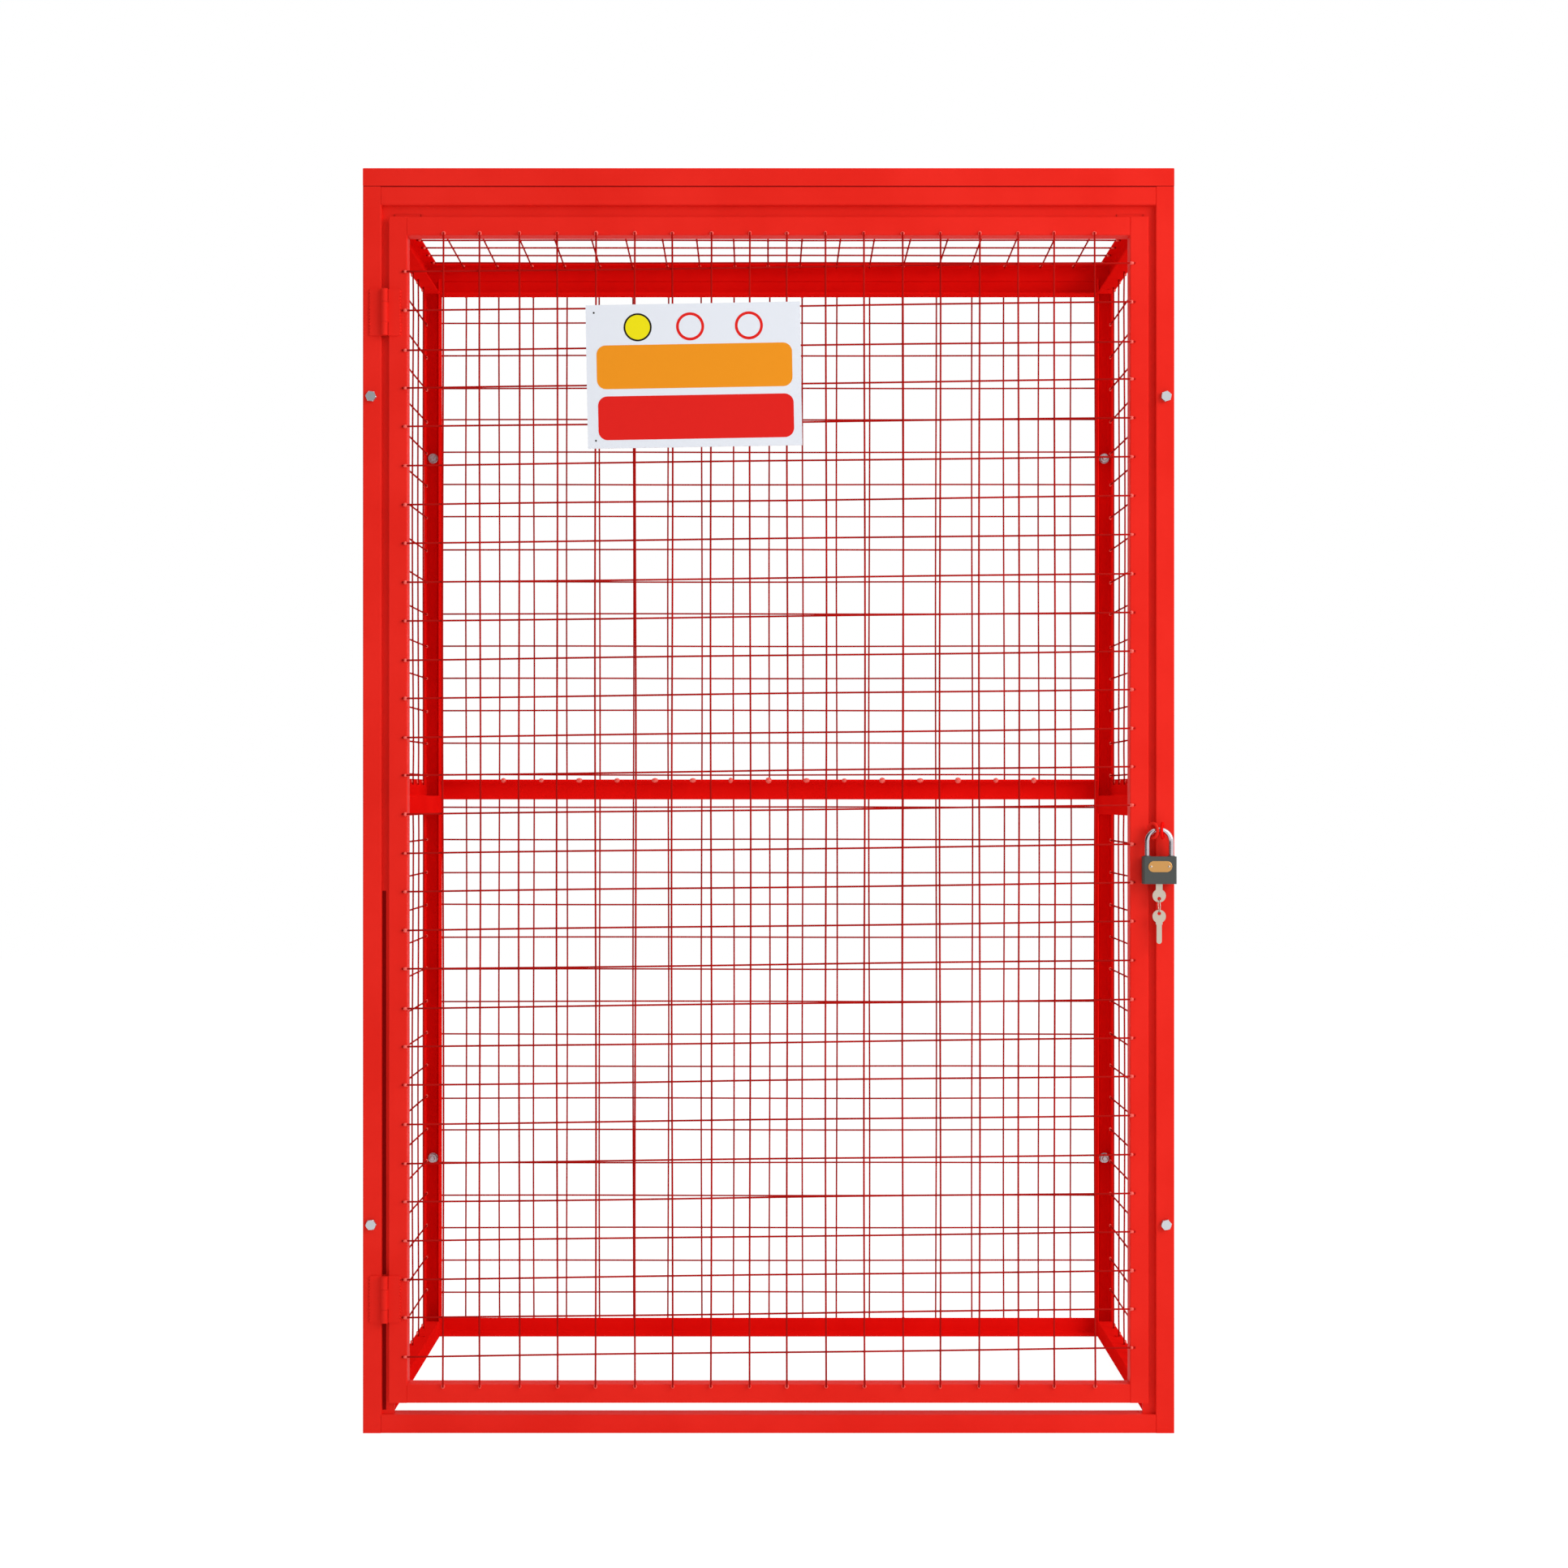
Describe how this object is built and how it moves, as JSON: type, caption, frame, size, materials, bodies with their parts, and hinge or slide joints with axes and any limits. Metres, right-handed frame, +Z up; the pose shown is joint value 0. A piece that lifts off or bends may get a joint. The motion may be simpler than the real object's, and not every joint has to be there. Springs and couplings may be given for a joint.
{
  "type": "gas cylinder storage cage",
  "caption": "Red angle-iron and weld-mesh cage for gas cylinders, with one hinged mesh door, a blank warning plate and a padlock with keys.",
  "frame": {"origin": "ground level, midway between the outer faces of the posts, front to back and side to side", "axes": "+Z up, -Y towards the front with the door, +X towards the padlock side"},
  "size_m": [1.1, 0.6303, 1.715],
  "materials": {
    "red_paint": "gloss red enamel on steel angle",
    "wire_mesh": "red enamel on welded wire",
    "sign": "white rigid plastic plate with plain orange and red bands",
    "padlock_body": "grey enamel on laminated steel",
    "chrome": "polished hardened steel",
    "nickel": "nickel-plated brass keys"
  },
  "bodies": {
    "cage": {"front_post_left": "red_paint", "front_post_right": "red_paint", "front_header": "red_paint", "front_sill": "red_paint", "left_front_upright": "red_paint", "left_rear_upright": "red_paint", "left_top_rail": "red_paint", "left_mid_rail": "red_paint", "left_bottom_rail": "red_paint", "left_mesh": "wire_mesh", "right_front_upright": "red_paint", "right_rear_upright": "red_paint", "right_top_rail": "red_paint", "right_mid_rail": "red_paint", "right_bottom_rail": "red_paint", "right_mesh": "wire_mesh", "back_left_upright": "red_paint", "back_right_upright": "red_paint", "back_top_rail": "red_paint", "back_mid_rail": "red_paint", "back_bottom_rail": "red_paint", "back_mesh_upper": "wire_mesh", "back_mesh_lower": "wire_mesh", "roof_front_rail": "red_paint", "roof_rear_rail": "red_paint", "roof_left_rail": "red_paint", "roof_right_rail": "red_paint", "roof_mesh": "wire_mesh", "upper_hinge_post_leaf": "red_paint", "lower_hinge_post_leaf": "red_paint", "post_lock_eye": "red_paint"},
    "door": {"door_hinge_stile": "red_paint", "door_lock_stile": "red_paint", "door_top_rail": "red_paint", "door_bottom_rail": "red_paint", "door_mesh_upper": "wire_mesh", "door_mesh_lower": "wire_mesh", "upper_hinge_door_leaf": "red_paint", "lower_hinge_door_leaf": "red_paint", "door_lock_eye": "red_paint", "sign_plate": "sign"},
    "padlock": {"padlock_body": "padlock_body", "padlock_shackle": "chrome"},
    "keys": {"key_in_lock": "nickel", "key_ring": "nickel"},
    "spare_key": {"spare_key": "nickel"}
  },
  "joints": [
    {"name": "door_hinge", "type": "hinge", "parent": "cage", "child": "door", "pos_m": [-0.52, -0.3045, 0.8505], "axis": [0, 0, -1], "range_deg": [0, 165]},
    {"name": "padlock_swing", "type": "hinge", "parent": "cage", "child": "padlock", "pos_m": [0.527, -0.314, 0.81783], "axis": [-1, 0, 0], "range_deg": [0, 80]},
    {"name": "key_turn", "type": "hinge", "parent": "padlock", "child": "keys", "pos_m": [0.527, -0.314, 0.74521], "axis": [0, 0, 1], "range_deg": [0, 90]},
    {"name": "spare_key_swing", "type": "hinge", "parent": "keys", "child": "spare_key", "pos_m": [0.527, -0.314, 0.71527], "axis": [-1, 0, 0], "range_deg": [0, 60]}
  ]
}
